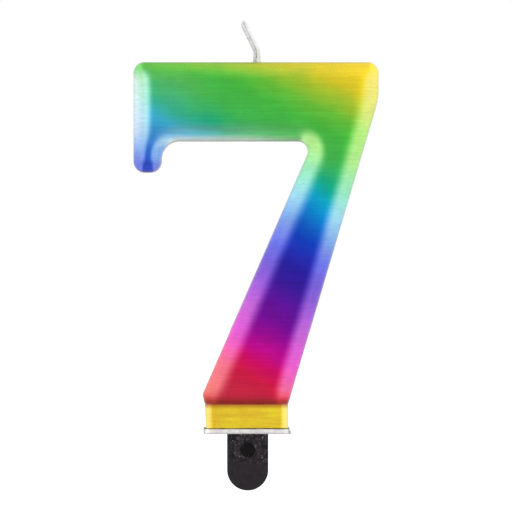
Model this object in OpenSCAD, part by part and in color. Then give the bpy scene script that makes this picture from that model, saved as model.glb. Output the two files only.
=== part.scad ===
// Number candle: a moulded wax 7 on a plinth, with its wick, drip tray and pick.
// Millimetres. X runs to the right seen from the front, the front faces -Y, Z is up.
// The origin is the middle of the drip tray's underside, where it meets the cake.

/* [Numeral] */
// Width over the bar, from the serif to the right-hand end
seven_w = 53.8; // [45:0.1:65]
// Height of the figure above its plinth
seven_h = 75; // [62:0.5:90]
// Thickness of the figure, front to back
seven_t = 12; // [10:0.1:15]
// How far the bar reaches to the left of the plinth's middle
bar_reach = 24.8; // [20.5:0.1:29.8]
// Height of the bar
bar_h = 17.3; // [14:0.1:21]
// Width of the serif that hangs from the bar's left end
serif_w = 6.1; // [5:0.1:7.5]
// How far the serif hangs below the bar
serif_drop = 6.85; // [5.5:0.05:8.5]
// Height of the straight right-hand end of the bar
shoulder_h = 7.9; // [6:0.1:10]
// Width of the stem where it leaves the bar
neck_w = 11.5; // [9.5:0.1:14]
// Height of the heel, the short stretch below the stem's left edge
heel_h = 2; // [1.6:0.1:2.4]
// How far the heel stands out to the left of the plinth
heel_out = 0.5; // [0.3:0.05:0.8]

/* [Rounding of the numeral] */
// Corner radius of the bar's two top corners
top_r = 2.4; // [2:0.1:3]
// Corner radius at the tip of the serif
tip_r = 2.45; // [2:0.05:2.9]
// Radius between the serif and the underside of the bar
crook_r = 4; // [3:0.1:5]
// Radius of the inner corner between the bar and the stem
crotch_r = 2.25; // [1.8:0.05:2.8]
// Radius of the bend between the bar's right-hand end and the stem
shoulder_r = 15; // [12:0.5:18]
// Radius of the heel
heel_r = 1.5; // [1.2:0.1:1.8]
// How far the soft edge of a face runs in from the outline
edge_in = 1.6; // [1.2:0.1:1.7]
// How far the soft edge of a face runs down the side
edge_deep = 2.6; // [2:0.1:3.2]

/* [Plinth] */
// Width of the plinth
plinth_w = 18.3; // [15:0.1:22]
// Depth of the plinth, front to back
plinth_d = 11.4; // [9.5:0.1:13.8]
// Height of the plinth
plinth_h = 6.47; // [5.3:0.01:7.8]
// Radius of the plinth's upright corners
plinth_r = 1.2; // [1:0.1:1.5]
// Radius along the plinth's lower edges
plinth_foot_r = 0.6; // [0.5:0.05:0.8]

/* [Pick] */
// Width of the pick's blade
pick_w = 9.06; // [7.5:0.02:10.9]
// Thickness of the pick
pick_t = 2; // [1.6:0.1:2.4]
// How far the pick reaches below the drip tray
pick_down = 12.5; // [10.4:0.1:15]
// How far the pick sits to the right of the plinth's middle
pick_off = 0.26; // [-0.3:0.02:0.3]
// Height of the tang that reaches up into the numeral
tang_h = 5; // [4.4:0.1:6]
// How much narrower the tang is on each side than the blade
tang_step = 1; // [0.8:0.1:1.2]
// Corner radius at the top of the tang
tang_r = 1; // [0.8:0.1:1.2]
// Diameter of the hole in the tang that the wax fills
lock_d = 2.2; // [1.8:0.1:2.6]
// Diameter of the round dimple in the blade's front
dimple_d = 3.1; // [2.6:0.1:3.7]
// Depth of the dimple
dimple_deep = 1.1; // [0.9:0.05:1.2]
// How far the dimple's middle is below the drip tray
dimple_down = 3.55; // [3.1:0.05:4.2]

/* [Drip tray] */
// Height of the drip tray's rim
tray_h = 1.2; // [1:0.05:1.45]
// Thickness of the tray's foil
foil_t = 0.15; // [0.12:0.01:0.18]
// Gap between the plinth and the tray's rim
tray_gap = 0.08; // [0.06:0.01:0.15]
// Gap round the pick in the tray's slot
slot_gap = 0.15; // [0.1:0.01:0.25]

/* [Wick] */
// Diameter of the wick
wick_d = 1.54; // [1.28:0.02:1.86]
// How far the wick comes out of the wax, measured to the right of the plinth's middle
wick_x = 2.3; // [0.5:0.1:4]
// How far the wick stands above the bar
wick_up = 9.2; // [7.6:0.1:11.2]
// Lean of the free wick to the left, in degrees
wick_lean = 26; // [15:1:40]
// Height of the bend in the free wick above the bar
wick_kink = 2.4; // [2:0.1:3]
// Radius at the middle of the wick's bends in the wax
wick_bend_r = 4; // [3:0.1:5]
// How far the wick drops into the bar before its first bend
wick_dip = 6.8; // [5.5:0.1:8.4]
// Gap between the free wick and the wax that it bends on
wick_gap = 0.05; // [0.03:0.01:0.1]

/* [Hidden] */

$fn = 48;
arc_steps = 7;           // straight pieces in each rounded corner of the numeral
edge_rings = 5;          // outlines across each soft edge
rod_sides = 12;          // flat sides of the wick
end_rings = 4;           // rings in a round end of the wick
sharp_r = 0.05;          // smallest corner radius, where an inset uses a radius up
foot_r = 0.25;           // radius of the two corners that stand on the plinth
cut_over = 1;            // how far a cutter runs past the face that it cuts
wick_foot_clear = 2.5;   // wax between the top of the tang and the end of the wick
wick_turn_up = 2.3;      // height of the wick's second bend above the bar's underside
tail_bend_r = 3;         // radius at the middle of the bend in the free wick

plinth_z = foil_t;
foot_z = plinth_z + plinth_h;
top_z = foot_z + seven_h;
under_z = top_z - bar_h;
bar_left = -bar_reach;
bar_right = bar_left + seven_w;
foot_left = -plinth_w / 2;
foot_right = plinth_w / 2;
shoulder_z = top_z - shoulder_h;
heel_z = foot_z + heel_h;
heel_x = foot_left - heel_out;

// Right-hand edge of the stem at a height, on the line from the foot to the shoulder
function stem_right(z) =
    foot_right + (bar_right - foot_right) * (z - foot_z) / (shoulder_z - foot_z);

crotch_x = stem_right(under_z) - neck_w;

// Left-hand edge of the stem at a height, on the line from the heel to the crotch
function stem_left(z) = heel_x + (crotch_x - heel_x) * (z - heel_z) / (under_z - heel_z);

function stem_middle(z) = (stem_left(z) + stem_right(z)) / 2;

// Corners of the figure as [x, z, radius], anticlockwise seen from the front: the foot's left end,
// the outer edge from the foot to the serif, and the inner edge back to the heel
corners = [
    [foot_left, foot_z, foot_r],
    [foot_right, foot_z, foot_r],
    [bar_right, shoulder_z, shoulder_r],
    [bar_right, top_z, top_r],
    [bar_left, top_z, top_r],
    [bar_left, under_z - serif_drop, tip_r],
    [bar_left + serif_w, under_z - serif_drop, tip_r],
    [bar_left + serif_w, under_z, crook_r],
    [crotch_x, under_z, crotch_r],
    [heel_x, heel_z, heel_r]
];

tang_top = foot_z + tang_h;
pick_tip = -pick_down;

// The wick's route in the wax, as [x, z]: straight down, across the bar, down the stem
wick_end_z = tang_top + wick_foot_clear;
wick_route = [
    [wick_x, top_z],
    [wick_x, top_z - wick_dip],
    [stem_middle(under_z + wick_turn_up), under_z + wick_turn_up],
    [stem_middle(wick_end_z), wick_end_z]
];

// The free wick turns on the middle of its own round foot
wick_pivot_z = top_z + wick_d / 2 + wick_gap;
kink_z = top_z + wick_kink;
tail_end_z = top_z + wick_up - wick_d / 2;
tail_route = [
    [wick_x, wick_pivot_z],
    [wick_x, kink_z],
    [wick_x - (tail_end_z - kink_z) * tan(wick_lean), tail_end_z]
];

// ---------- plane geometry ----------

function unit(v) = v / norm(v);
function left_of(v) = [-v[1], v[0]];
function flat(p) = [p[0], p[1]];
function turn_at(a, b) = atan2(a[0] * b[1] - a[1] * b[0], a * b);
function wrap(i, n) = (i + n) % n;

// A corner moved inwards so that both of its edges move by d
function inset_corner(list, i, d) =
    let (
        n = len(list),
        here = flat(list[i]),
        a = left_of(unit(here - flat(list[wrap(i - 1, n)]))),
        b = left_of(unit(flat(list[wrap(i + 1, n)]) - here))
    )
    here + d * (a + b) / (1 + a * b);

// Points of the arc that rounds the corner between two edges
function corner_arc(before, here, after, r, steps) =
    let (
        a = unit(here - before),
        turn = turn_at(a, unit(after - here)),
        start = here - a * r * tan(abs(turn) / 2),
        centre = start + left_of(a) * r * sign(turn),
        from = start - centre,
        first = atan2(from[1], from[0])
    )
    [for (k = [0 : steps]) centre + r * [cos(first + turn * k / steps), sin(first + turn * k / steps)]];

// The rounded outline, moved inwards by d: outer corners lose d of their radius, inner ones gain it
function outline(list, d) =
    let (
        n = len(list),
        moved = [for (i = [0 : n - 1]) inset_corner(list, i, d)]
    )
    [for (i = [0 : n - 1])
        let (
            before = moved[wrap(i - 1, n)],
            after = moved[wrap(i + 1, n)],
            turn = turn_at(moved[i] - before, after - moved[i]),
            r = max(list[i][2] - d * sign(turn), sharp_r)
        )
        each corner_arc(before, moved[i], after, r, arc_steps)];

// ---------- solids ----------

// A figure with soft edges: its outline is repeated from front to back, inset near each face.
// The figure is a bent band, so each face is laced across from its outer edge to its inner one.
module soft_figure(list, thick, edge_in, edge_deep) {
    half = thick / 2;
    angles = [for (k = [0 : edge_rings]) 90 * k / edge_rings];
    front = [for (a = angles) [edge_in * (1 - sin(a)), -half + edge_deep * (1 - cos(a))]];
    back = [for (k = [edge_rings : -1 : 0]) [front[k][0], -front[k][1]]];
    rings = concat(front, back);
    count = len(outline(list, 0));
    points = [for (ring = rings) each [for (p = outline(list, ring[0])) [p[0], ring[1], p[1]]]];
    sides = [for (k = [0 : len(rings) - 2], i = [0 : count - 1])
        let (
            a = k * count + i,
            b = k * count + wrap(i + 1, count)
        )
        each [[a, b, b + count], [a, b + count, a + count]]];
    last = (len(rings) - 1) * count;
    faces = [for (i = [0 : count / 2 - 2])
        let (
            a = arc_steps + 1 + i,
            b = a + 1,
            c = wrap(arc_steps - i - 1, count),
            d = wrap(arc_steps - i, count)
        )
        each [[a, c, b], [a, d, c], [last + a, last + b, last + c], [last + a, last + c, last + d]]];
    polyhedron(points, concat(sides, faces), convexity = 6);
}

// Points along a route of [x, z] points, with an arc of the given radius at each inner point
function smooth_route(route, bend_r) =
    let (last = len(route) - 1)
    [
        route[0],
        for (i = [1 : last - 1])
            each corner_arc(route[i - 1], route[i], route[i + 1], bend_r, arc_steps),
        route[last]
    ];

// Stations of a round end beyond a point, as [point, direction, radius], widest first
function round_end(p, out, along, r) =
    [for (k = [1 : end_rings])
        let (a = 90 * k / (end_rings + 0.5))
        [p + out * r * sin(a), along, r * cos(a)]];

function backwards(list) = [for (i = [len(list) - 1 : -1 : 0]) list[i]];

// A rod along a route in the plane y = 0: a ring of points at each station of the smoothed route
module bent_rod(route, bend_r, r, round_ends = false) {
    path = smooth_route(route, bend_r);
    end = len(path) - 1;
    body = [for (i = [0 : end])
        [path[i], unit(path[min(i + 1, end)] - path[max(i - 1, 0)]), r]];
    stations = round_ends
        ? concat(
            backwards(round_end(path[0], -body[0][1], body[0][1], r)),
            body,
            round_end(path[end], body[end][1], body[end][1], r))
        : body;
    last = len(stations) - 1;
    points = [for (s = stations)
        each [for (k = [0 : rod_sides - 1])
            let (
                a = 360 * k / rod_sides,
                p = s[0] + s[2] * cos(a) * left_of(s[1])
            )
            [p[0], s[2] * sin(a), p[1]]]];
    sides = [for (i = [0 : last - 1], k = [0 : rod_sides - 1])
        let (
            a = i * rod_sides + k,
            b = i * rod_sides + wrap(k + 1, rod_sides)
        )
        each [[a, b, b + rod_sides], [a, b + rod_sides, a + rod_sides]]];
    start_face = [for (k = [rod_sides - 1 : -1 : 0]) k];
    end_face = [for (k = [0 : rod_sides - 1]) last * rod_sides + k];
    polyhedron(points, concat(sides, [start_face, end_face]), convexity = 4);
}

// A rectangle with round corners, centred on the origin
module round_rect(w, h, r) {
    square([w - 2 * r, h], center = true);
    square([w, h - 2 * r], center = true);
    for (x = [-1, 1], y = [-1, 1])
        translate([x * (w / 2 - r), y * (h / 2 - r)])
            circle(r = r);
}

// The pick's outline seen from the front: a blade with a round end, and a tang above it
module pick_outline() {
    blade_r = pick_w / 2;
    tang_w = pick_w - 2 * tang_step;
    translate([pick_off, 0]) {
        translate([0, pick_tip + blade_r])
            circle(r = blade_r);
        translate([-blade_r, pick_tip + blade_r])
            square([pick_w, foot_z - pick_tip - blade_r]);
        translate([-tang_w / 2, foot_z])
            square([tang_w, tang_h - tang_r]);
        translate([-tang_w / 2 + tang_r, foot_z])
            square([tang_w - 2 * tang_r, tang_h]);
        for (side = [-1, 1])
            translate([side * (tang_w / 2 - tang_r), tang_top - tang_r])
                circle(r = tang_r);
    }
}

// The pick without its dimple: the plinth and the numeral are moulded round this shape
module pick_blank() {
    difference() {
        rotate([90, 0, 0])
            linear_extrude(height = pick_t, center = true)
                pick_outline();
        translate([pick_off, 0, foot_z + tang_h / 2])
            rotate([90, 0, 0])
                cylinder(h = pick_t + 2 * cut_over, d = lock_d, center = true);
    }
}

// The wax figure, moulded round the tang of the pick and round the wick
module numeral_seven() {
    color("deepskyblue")
        difference() {
            soft_figure(corners, seven_t, edge_in, edge_deep);
            pick_blank();
            bent_rod(wick_route, wick_bend_r, wick_d / 2);
        }
}

// The gold block under the figure, moulded round the blade of the pick
module plinth() {
    block_z = plinth_z + plinth_h / 2;
    color("gold")
        difference() {
            intersection() {
                translate([0, 0, plinth_z])
                    linear_extrude(height = plinth_h)
                        round_rect(plinth_w, plinth_d, plinth_r);
                translate([0, 0, block_z + plinth_foot_r])
                    rotate([90, 0, 0])
                        linear_extrude(height = plinth_d + 2 * cut_over, center = true)
                            round_rect(plinth_w, plinth_h + 2 * plinth_foot_r, plinth_foot_r);
                translate([0, 0, block_z + plinth_foot_r])
                    rotate([90, 0, 90])
                        linear_extrude(height = plinth_w + 2 * cut_over, center = true)
                            round_rect(plinth_d, plinth_h + 2 * plinth_foot_r, plinth_foot_r);
            }
            pick_blank();
        }
}

// The wick's hidden length: down into the bar, across it and down the stem
module wick_in_wax() {
    color("ivory")
        bent_rod(wick_route, wick_bend_r, wick_d / 2);
}

// The wick's free end, which bends over on its round foot
module wick_tail() {
    color("white")
        bent_rod(tail_route, tail_bend_r, wick_d / 2, round_ends = true);
}

// The foil tray: a shallow pan that the plinth stands in, with a slot for the pick
module drip_tray() {
    inner_w = plinth_w + 2 * tray_gap;
    inner_d = plinth_d + 2 * tray_gap;
    inner_r = plinth_r + tray_gap;
    color("silver")
        difference() {
            linear_extrude(height = tray_h)
                round_rect(inner_w + 2 * foil_t, inner_d + 2 * foil_t, inner_r + foil_t);
            translate([0, 0, foil_t])
                linear_extrude(height = tray_h)
                    round_rect(inner_w, inner_d, inner_r);
            translate([pick_off, 0, 0])
                cube([pick_w + 2 * slot_gap, pick_t + 2 * slot_gap, 2 * cut_over], center = true);
        }
}

// The plastic pick: blade with a round end and a dimple, and a tang with a locking hole
module pick() {
    color("dimgray")
        difference() {
            pick_blank();
            translate([pick_off, -pick_t / 2 - cut_over, -dimple_down])
                rotate([-90, 0, 0])
                    cylinder(h = cut_over + dimple_deep, d = dimple_d);
        }
}

numeral_seven();
plinth();
wick_in_wax();
wick_tail();
drip_tray();
pick();
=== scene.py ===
# %% [markdown]
# # A number candle: a wax 7 with a metallic rainbow coat
#
# A number candle is wax poured into a two-part mould round a cotton wick and a plastic pick. The
# figure is then sprayed with a metallic coat, the block under it is gold, and a foil tray slides up
# the pick to catch the drips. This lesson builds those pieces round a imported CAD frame, which gives
# every size that matters: where each piece starts and ends, and what it moves with.
#
# Work happens in millimetres, because that is how such a small thing is drawn, and each mesh is
# turned into metres at the moment it is made.

# %% Load the frame
import math

import bmesh
import bpy
import numpy as np
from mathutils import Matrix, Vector, noise
from mathutils.geometry import delaunay_2d_cdt


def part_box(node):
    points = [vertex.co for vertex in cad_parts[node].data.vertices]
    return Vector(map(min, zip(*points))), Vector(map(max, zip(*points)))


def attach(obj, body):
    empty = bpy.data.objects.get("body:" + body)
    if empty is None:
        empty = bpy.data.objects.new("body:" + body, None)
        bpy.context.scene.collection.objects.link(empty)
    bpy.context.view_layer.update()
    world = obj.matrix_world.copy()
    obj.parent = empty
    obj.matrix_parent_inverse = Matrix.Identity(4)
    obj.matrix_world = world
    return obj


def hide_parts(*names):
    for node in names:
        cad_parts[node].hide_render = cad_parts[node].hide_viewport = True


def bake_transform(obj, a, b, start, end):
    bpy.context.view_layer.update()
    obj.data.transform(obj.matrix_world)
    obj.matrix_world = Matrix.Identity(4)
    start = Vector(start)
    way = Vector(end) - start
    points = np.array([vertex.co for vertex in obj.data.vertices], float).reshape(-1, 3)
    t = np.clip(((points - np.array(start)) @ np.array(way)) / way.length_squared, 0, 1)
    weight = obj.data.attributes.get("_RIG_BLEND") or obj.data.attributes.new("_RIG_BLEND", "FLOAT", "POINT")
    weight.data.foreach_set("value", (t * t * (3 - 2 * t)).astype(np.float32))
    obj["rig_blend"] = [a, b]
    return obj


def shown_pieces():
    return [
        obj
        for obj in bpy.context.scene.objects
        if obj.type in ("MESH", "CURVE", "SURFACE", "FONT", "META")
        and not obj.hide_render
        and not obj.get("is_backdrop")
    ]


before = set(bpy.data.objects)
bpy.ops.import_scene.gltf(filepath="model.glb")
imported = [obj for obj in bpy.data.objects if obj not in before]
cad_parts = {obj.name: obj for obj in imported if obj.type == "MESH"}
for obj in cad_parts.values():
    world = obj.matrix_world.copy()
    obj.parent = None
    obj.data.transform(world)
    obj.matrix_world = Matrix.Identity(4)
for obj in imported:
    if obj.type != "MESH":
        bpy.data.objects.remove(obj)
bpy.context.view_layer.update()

MM = 0.001

# %% Read the sizes of the nodes


def node_box(node):
    """Lowest and highest corners of a CAD node, in millimetres."""
    low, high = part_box(node)
    return np.array(low) / MM, np.array(high) / MM


seven_low, seven_high = node_box("numeral_seven")
plinth_low, plinth_high = node_box("plinth")
tray_high = node_box("drip_tray")[1]
pick_low, pick_high = node_box("pick")
tail_high = node_box("wick_tail")[1]

bar_left, bar_right = seven_low[0], seven_high[0]
bar_w = bar_right - bar_left
foot_z, top_z = seven_low[2], seven_high[2]
seven_half = seven_high[1]
foot_left, foot_right = plinth_low[0], plinth_high[0]
bar_h = 17.3
under_z = top_z - bar_h
print("figure:", round(bar_w, 2), "by", round(top_z - foot_z, 2), "mm")

# %% [markdown]
# ## The camera
#
# A small product is shot from a distance with a long lens, so that its sides run parallel. The
# camera stands straight in front, level with the middle of the picture, and comes first because
# everything else is judged through it.

# %% Camera
view_width = 112.64
view_x, view_z = 2.09, 39.07
camera_far = 1500.0
sensor_width = 36.0

camera_data = bpy.data.cameras.new("camera")
camera_data.sensor_width = sensor_width
camera_data.lens = sensor_width * camera_far / view_width
camera_data.clip_start = 0.01
camera_data.clip_end = 20
camera = bpy.data.objects.new("camera", camera_data)
camera.location = (view_x * MM, -camera_far * MM, view_z * MM)
camera.rotation_euler = (math.radians(90), 0, 0)
bpy.context.scene.collection.objects.link(camera)
bpy.context.scene.camera = camera
bpy.context.scene.view_settings.view_transform = "Standard"
print("lens:", round(camera_data.lens, 1), "mm")

# %% [markdown]
# ## Node helpers
#
# Both kinds of node tree, for shapes and for finishes, are built from the same few moves: add a node,
# set its plain values and link what comes from other nodes. One helper does all of it, and short
# ones on top of it name the steps that come back most.

# %% Helpers that build node trees


def add_node(tree, kind, inputs=None, **settings):
    """A new node: settings are its own options, and inputs are values or sockets to link."""
    node = tree.nodes.new(kind)
    for key, value in settings.items():
        setattr(node, key, value)
    for key, value in (inputs or {}).items():
        if isinstance(value, bpy.types.NodeSocket):
            tree.links.new(value, node.inputs[key])
        else:
            node.inputs[key].default_value = value
    return node


def result_of(tree, kind, inputs=None, **settings):
    """The first output of a new node."""
    return add_node(tree, kind, inputs, **settings).outputs[0]


def calculate(tree, operation, *values):
    """The result of one Math node."""
    return result_of(tree, "ShaderNodeMath", dict(enumerate(values)), operation=operation)


def product(tree, first, *others):
    """Several numbers multiplied."""
    for other in others:
        first = calculate(tree, "MULTIPLY", first, other)
    return first


def combine(tree, operation, *values):
    """The result of one Vector Math node."""
    inputs = dict(enumerate(values))
    return result_of(tree, "ShaderNodeVectorMath", inputs, operation=operation)


def split(tree, vector):
    """The three parts of a vector, by the names X, Y and Z."""
    return add_node(tree, "ShaderNodeSeparateXYZ", {"Vector": vector}).outputs


SOCKETS = {float: "NodeSocketFloat", int: "NodeSocketInt"}


def start_group(name, kind, inputs, outputs):
    """A new node group with named inputs and outputs. A number gives its socket a start value."""
    tree = bpy.data.node_groups.new(name, kind)
    for label, value in inputs.items():
        kind_of_socket = value if isinstance(value, str) else SOCKETS[type(value)]
        socket = tree.interface.new_socket(label, in_out="INPUT", socket_type=kind_of_socket)
        if not isinstance(value, str):
            socket.default_value = value
    for label, socket_kind in outputs.items():
        tree.interface.new_socket(label, in_out="OUTPUT", socket_type=socket_kind)
    return tree, tree.nodes.new("NodeGroupInput").outputs, tree.nodes.new("NodeGroupOutput").inputs


print("helpers for node trees are ready")

# %% Helpers for finishes


def linear(red, green, blue):
    """A colour as a paint chart gives it, 0 to 255, turned into the light values that nodes use."""
    shares = [v / 255 for v in (red, green, blue)]
    return (*[s / 12.92 if s <= 0.04045 else ((s + 0.055) / 1.055) ** 2.4 for s in shares], 1.0)


def start_finish(name):
    """A new material with its tree, its Principled BSDF and the piece's own coordinates in mm."""
    material = bpy.data.materials.new(name)
    material.use_nodes = True
    tree = material.node_tree
    own = add_node(tree, "ShaderNodeTexCoord").outputs["Object"]
    place = result_of(tree, "ShaderNodeMapping", {"Vector": own, "Scale": (1 / MM,) * 3})
    return material, tree, tree.nodes["Principled BSDF"], place


def grain(tree, place, scale, detail=2.0, stretch=(1, 1, 1), roughness=0.5):
    """Noise from 0 to 1, with `scale` blobs to each millimetre, drawn out by stretch."""
    shaped = result_of(tree, "ShaderNodeMapping", {"Vector": place, "Scale": stretch})
    inputs = {"Vector": shaped, "Scale": scale, "Detail": detail, "Roughness": roughness}
    return result_of(tree, "ShaderNodeTexNoise", inputs)


def between(tree, value, low, high, start=0.0, end=1.0, smooth=True):
    """Maps low..high to start..end, held at both ends."""
    inputs = {"Value": value, "From Min": low, "From Max": high, "To Min": start, "To Max": end}
    style = "SMOOTHSTEP" if smooth else "LINEAR"
    return result_of(tree, "ShaderNodeMapRange", inputs, interpolation_type=style)


def mix(tree, share, first, second, blend="MIX"):
    """Two colours mixed: share 0 gives the first and 1 gives the second."""
    inputs = {0: share, 6: first, 7: second}
    return add_node(tree, "ShaderNodeMix", inputs, data_type="RGBA", blend_type=blend).outputs[2]


def colour_ramp(tree, value, stops):
    """A Color Ramp with (position, colour) stops."""
    node = add_node(tree, "ShaderNodeValToRGB", {"Fac": value})
    elements = node.color_ramp.elements
    while len(elements) < len(stops):
        elements.new(1.0)
    for element, (position, colour) in zip(elements, stops):
        element.position = position
        element.color = colour
    return node.outputs["Color"]


def bump(tree, strength, distance, height):
    """The normal of a surface with bumps of a distance in millimetres."""
    inputs = {"Strength": strength, "Distance": distance * MM, "Height": height}
    return result_of(tree, "ShaderNodeBump", inputs)


def set_shader(tree, shader, **values):
    """Sets the shader's sockets. Underscores stand for the spaces in their names."""
    for key, value in values.items():
        socket = shader.inputs[key.replace("_", " ")]
        if isinstance(value, bpy.types.NodeSocket):
            tree.links.new(value, socket)
        else:
            socket.default_value = value


print("helpers for finishes are ready")

# %% [markdown]
# ## The sprayed coat
#
# The figure and the block carry the same kind of coat: metal flakes in a clear lacquer, pulled level
# while it dried, which leaves very fine lines that run from side to side. The lines are too fine to
# model, so they are a shared node group: noise drawn out along X gives the lines, a finer round noise
# gives the flakes, and both tilt the surface a little and change how sharp the gloss is.

# %% Shared group: lines and flakes of the sprayed coat
coat_inputs = {
    "Place": "NodeSocketVector",
    "Lines per mm": 3.0,
    "Flakes per mm": 5.0,
    "Line depth": 0.5,
    "Roughness": 0.3,
}
coat_outputs = {
    "Shade": "NodeSocketFloat",
    "Roughness": "NodeSocketFloat",
    "Normal": "NodeSocketVector",
}
sprayed_coat, given, result = start_group(
    "sprayed_coat", "ShaderNodeTree", coat_inputs, coat_outputs
)
cloud_scale = 0.22
line_stretch = (0.045, 0.25, 1.0)
line_place = combine(sprayed_coat, "MULTIPLY", given["Place"], line_stretch)
lines = grain(sprayed_coat, line_place, given["Lines per mm"], 3.0, roughness=0.6)
flakes = grain(sprayed_coat, given["Place"], given["Flakes per mm"], 2.0, roughness=0.6)
clouds = grain(sprayed_coat, given["Place"], cloud_scale)
line_shade = between(sprayed_coat, lines, 0.3, 0.7, 0.91, 1.09, smooth=False)
flake_shade = between(sprayed_coat, flakes, 0.3, 0.7, 0.985, 1.015, smooth=False)
cloud_shade = between(sprayed_coat, clouds, 0.3, 0.7, 0.96, 1.04)
shade = product(sprayed_coat, line_shade, flake_shade, cloud_shade)
sprayed_coat.links.new(shade, result["Shade"])
rough_change = between(sprayed_coat, flakes, 0.3, 0.7, 0.85, 1.15)
rough = calculate(sprayed_coat, "MULTIPLY", given["Roughness"], rough_change)
sprayed_coat.links.new(rough, result["Roughness"])
height = calculate(sprayed_coat, "MULTIPLY_ADD", flakes, 0.08, lines)
bumps = bump(sprayed_coat, given["Line depth"], 0.02, height)
sprayed_coat.links.new(bumps, result["Normal"])


def lay_coat(tree, place, lines_per_mm, flakes_per_mm, depth):
    """The outputs of the shared group, with its own scale of lines and flakes."""
    coat = add_node(tree, "ShaderNodeGroup", node_tree=sprayed_coat)
    tree.links.new(place, coat.inputs["Place"])
    coat.inputs["Lines per mm"].default_value = lines_per_mm
    coat.inputs["Flakes per mm"].default_value = flakes_per_mm
    coat.inputs["Line depth"].default_value = depth
    coat.inputs["Roughness"].default_value = 0.3
    return coat.outputs


def finish_coat(tree, shader, colour, coat):
    """Gives the shader a colour with the coat's shade, gloss and lines."""
    grey = result_of(tree, "ShaderNodeCombineColor", {i: coat["Shade"] for i in range(3)})
    set_shader(
        tree,
        shader,
        Base_Color=mix(tree, 1.0, colour, grey, "MULTIPLY"),
        Metallic=1.0,
        Roughness=coat["Roughness"],
        Normal=coat["Normal"],
        Coat_Weight=0.1,
        Coat_Roughness=0.3,
        Sheen_Weight=0.12,
        Sheen_Roughness=0.3,
    )


print("shared group:", sprayed_coat.name, "with", len(sprayed_coat.nodes), "nodes")

# %% [markdown]
# ## Rainbow wax
#
# The rainbow runs down the figure from yellow at the top right to red at the foot. It was sprayed in
# soft bands that tilt a little, so one number says where a point is in the rainbow: how far it is
# below the top, plus half of how far it is from the right-hand end. A Color Ramp turns that distance
# into colour. Near the top edge that place moves a little towards yellow, as a painted highlight where light
# falls on the top.
#
# Where the surface turns to the side, on the soft edges, the colour is made paler as a painted
# highlight of the side lights. So a second ramp holds those pale colours, and a mask mixes it in. The
# mask reads `facing`, the direction that the figure's own shape tree stores on each point. It belongs
# to the surface, so it stays the same from every side. The free end of the bar has a whiter painted
# highlight, faces that turn down under the bar have a pale grey painted highlight, and the foot is
# darkened with painted shade.

# %% Rainbow wax
rainbow_length = 96.0
rainbow_tilt = 0.5
rainbow = [
    (0.0, (240, 200, 40)),
    (5.0, (231, 203, 38)),
    (8.5, (211, 193, 37)),
    (12.0, (160, 189, 46)),
    (16.0, (100, 183, 54)),
    (20.0, (68, 176, 60)),
    (26.0, (62, 172, 74)),
    (29.5, (46, 170, 98)),
    (32.5, (14, 164, 124)),
    (34.5, (10, 163, 160)),
    (36.5, (8, 160, 196)),
    (40.0, (4, 126, 197)),
    (43.5, (10, 94, 191)),
    (47.0, (12, 60, 181)),
    (50.5, (30, 42, 170)),
    (54.0, (38, 26, 150)),
    (58.0, (52, 22, 148)),
    (62.0, (80, 16, 149)),
    (68.0, (108, 5, 144)),
    (72.0, (144, 2, 140)),
    (75.5, (184, 2, 139)),
    (79.0, (198, 4, 94)),
    (82.5, (200, 22, 66)),
    (86.0, (192, 34, 64)),
    (93.0, (176, 40, 56)),
]
# Pale colours for the painted highlight along the soft edges.
painted_highlight_chart = [
    (5.0, (252, 236, 120)),
    (10.0, (238, 238, 124)),
    (17.0, (184, 242, 128)),
    (25.0, (180, 241, 144)),
    (29.0, (164, 238, 172)),
    (33.0, (156, 238, 206)),
    (36.5, (163, 231, 238)),
    (40.0, (158, 214, 247)),
    (44.0, (132, 178, 241)),
    (47.5, (124, 144, 232)),
    (51.0, (110, 120, 240)),
    (55.0, (120, 102, 222)),
    (59.0, (142, 96, 218)),
    (63.0, (172, 98, 222)),
    (68.0, (204, 104, 217)),
    (72.0, (226, 98, 218)),
    (76.0, (240, 96, 208)),
    (80.0, (248, 106, 178)),
    (84.0, (250, 118, 140)),
    (92.0, (244, 128, 118)),
]
painted_highlight_gain = 0.66

rainbow_wax, tree, shader, place = start_finish("rainbow_wax")
coat = lay_coat(tree, place, 2.4, 4.5, 0.5)
parts = split(tree, place)
facing = add_node(tree, "ShaderNodeAttribute", attribute_name="facing").outputs["Vector"]
facing = split(tree, facing)
drop = calculate(tree, "SUBTRACT", top_z, parts["Z"])
aside = calculate(tree, "SUBTRACT", bar_right, parts["X"])
distance = calculate(tree, "MULTIPLY_ADD", aside, rainbow_tilt, drop)
wander = grain(tree, place, 0.12, detail=1.0)
distance = calculate(tree, "ADD", distance, between(tree, wander, 0.3, 0.7, -0.6, 0.6))
# Painted highlight: near the top edge the place in the rainbow moves towards the lighter yellow.
top_highlight_reach = between(tree, aside, 17.0, 50.0, 0.0, 8.0, smooth=False)
painted_top_highlight_shift = calculate(tree, "MULTIPLY", between(tree, drop, 4.5, 0.8), top_highlight_reach)
deep_place = calculate(tree, "SUBTRACT", distance, painted_top_highlight_shift)


def sprayed(place_in_rainbow, chart, light):
    """The colour of a chart at one place in the rainbow."""
    stops = []
    for at, paint in chart:
        colour = [light * v for v in linear(*paint)[:3]]
        stops.append((at / rainbow_length, (*colour, 1.0)))
    return colour_ramp(tree, calculate(tree, "DIVIDE", place_in_rainbow, rainbow_length), stops)


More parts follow.
